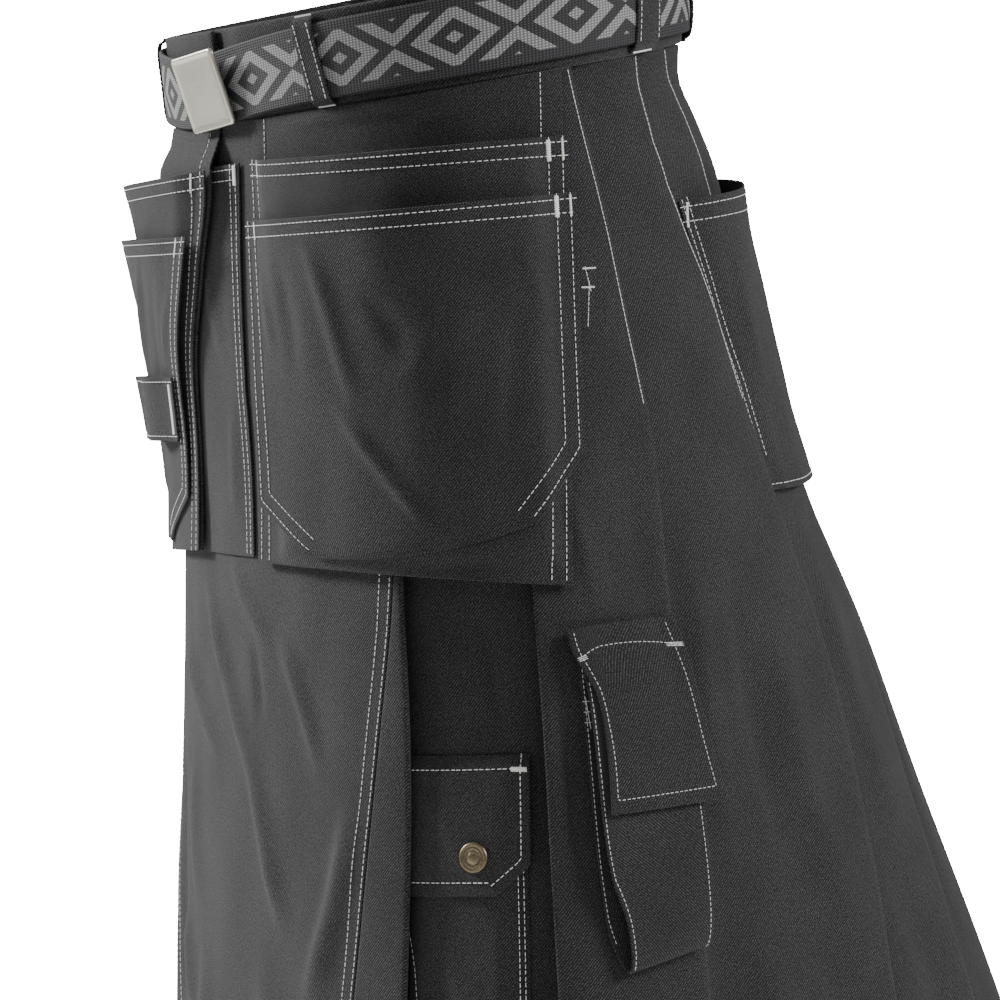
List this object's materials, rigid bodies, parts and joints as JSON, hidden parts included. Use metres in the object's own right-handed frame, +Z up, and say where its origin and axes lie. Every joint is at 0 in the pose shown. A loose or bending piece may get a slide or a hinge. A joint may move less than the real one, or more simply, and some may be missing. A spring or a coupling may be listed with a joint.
{
  "type": "utility kilt",
  "caption": "Worn utility kilt in dark twill with light stitching, a webbing belt, hanging holster pockets, pleats, a cargo pocket and a hammer loop.",
  "frame": {"origin": "middle of the waist at half the belt's height, on the body's upright axis", "axes": "+Z up; -Y to the front of the garment; +X to the wearer's left"},
  "size_m": [0.455, 0.4794, 0.6471],
  "materials": {
    "twill": "matte heavy twill",
    "webbing": "matte woven webbing",
    "buckle_plate": "satin nickel",
    "snap_metal": "antique brass"
  },
  "bodies": {
    "root": {"waistband": "twill", "belt_webbing": "webbing", "belt_buckle": "buckle_plate", "belt_loop_front_left": "twill", "belt_loop_front_right": "twill", "belt_loop_side_left": "twill", "belt_loop_side_right": "twill", "belt_loop_rear_left": "twill", "belt_loop_rear_right": "twill", "apron": "twill", "box_pleat_left": "twill", "box_pleat_right": "twill", "pleated_side_left": "twill", "pleated_side_right": "twill", "holster_left_panel": "twill", "holster_left_pocket": "twill", "holster_left_outer_pocket": "twill", "holster_right_panel": "twill", "holster_right_pocket": "twill", "holster_right_outer_pocket": "twill", "holster_right_tool_loop": "twill", "front_inner_pocket": "twill", "cargo_pocket_left": "twill", "cargo_flap_left": "twill", "cargo_snap_left": "snap_metal", "hammer_loop_left": "twill", "hammer_flap_left": "twill", "back_pocket_left": "twill", "back_pocket_right": "twill"}
  },
  "joints": []
}
